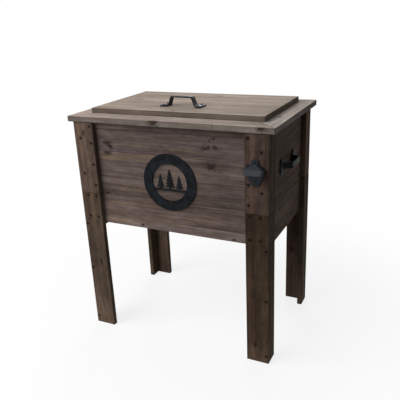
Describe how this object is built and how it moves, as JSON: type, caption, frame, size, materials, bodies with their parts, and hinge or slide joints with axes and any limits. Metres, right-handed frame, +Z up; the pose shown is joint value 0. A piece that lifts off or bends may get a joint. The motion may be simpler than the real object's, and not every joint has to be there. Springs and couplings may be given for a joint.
{
  "type": "patio cooler",
  "caption": "Rustic wooden patio cooler: boarded insulated chest with a hinged plank lid, on board legs, with black pulls, a bottle opener, a round emblem and a drain tap.",
  "frame": {"origin": "on the floor, under the middle of the object's bounding box", "axes": "+X to the right seen from the front, +Y to the back, +Z up; the front wall with the emblem faces -Y"},
  "size_m": [0.66, 0.4436, 0.7703],
  "materials": {
    "lid_wood": "weathered grey-brown, unvarnished",
    "rim_wood": "weathered grey-brown, unvarnished",
    "panel_wood": "brown stain, worn, with pinkish and ochre streaks",
    "post_wood": "brown stain, worn",
    "leg_wood": "brown stain, worn",
    "inner_wood": "bare sawn softwood",
    "black_iron": "black, satin, slightly rough",
    "emblem_iron": "blackened, hammered",
    "dark_screw": "darkened, brown",
    "bright_steel": "zinc plated",
    "tub_plastic": "off-white, smooth",
    "foam": "closed-cell foam",
    "seal_rubber": "soft black",
    "drain_plastic": "black moulded plastic"
  },
  "bodies": {
    "case": {"leg_face_front_left": "leg_wood", "leg_face_front_right": "leg_wood", "leg_face_back_left": "leg_wood", "leg_face_back_right": "leg_wood", "leg_side_front_left": "leg_wood", "leg_side_front_right": "leg_wood", "leg_side_back_left": "leg_wood", "leg_side_back_right": "leg_wood", "post_front_left": "post_wood", "post_front_right": "post_wood", "post_back_left": "post_wood", "post_back_right": "post_wood", "front_plank_1": "panel_wood", "front_plank_2": "panel_wood", "front_plank_3": "panel_wood", "front_plank_4": "panel_wood", "front_plank_5": "panel_wood", "front_plank_6": "panel_wood", "back_planks": "panel_wood", "left_planks": "panel_wood", "right_planks": "panel_wood", "left_bottom_rail": "inner_wood", "right_bottom_rail": "inner_wood", "floor_boards": "inner_wood", "rim_front": "rim_wood", "rim_back": "rim_wood", "rim_left": "rim_wood", "rim_right": "rim_wood", "tub_liner": "tub_plastic", "foam_walls": "foam", "foam_floor": "foam", "drain_gasket": "seal_rubber", "side_handle_left": "black_iron", "side_handle_right": "black_iron", "bottle_opener": "black_iron", "side_pull_screws": "black_iron", "opener_screws": "black_iron", "emblem": "emblem_iron", "emblem_screws": "emblem_iron", "frame_screws": "dark_screw", "hinge_frame_leaves": "bright_steel", "hinge_pins": "bright_steel", "hinge_screws": "bright_steel", "drain_spout": "drain_plastic", "drain_nut": "drain_plastic"},
    "lid": {"lid_plank_1": "lid_wood", "lid_plank_2": "lid_wood", "lid_plank_3": "lid_wood", "lid_plank_4": "lid_wood", "lid_plank_5": "lid_wood", "lid_battens": "inner_wood", "lid_liner": "tub_plastic", "lid_foam": "foam", "lid_gasket": "seal_rubber", "lid_screws": "bright_steel", "lid_handle": "black_iron", "lid_pull_screws": "black_iron", "hinge_lid_leaves": "bright_steel"},
    "tap": {"drain_tap_lever": "drain_plastic"}
  },
  "joints": [
    {"name": "lid_hinge", "type": "hinge", "parent": "case", "child": "lid", "pos_m": [0, 0.1891, 0.727], "axis": [-1, 0, 0], "range_deg": [0, 100]},
    {"name": "tap_turn", "type": "hinge", "parent": "case", "child": "tap", "pos_m": [-0.3156, 0.11115, 0.434], "axis": [0, 0, 1], "range_deg": [0, 90]}
  ]
}
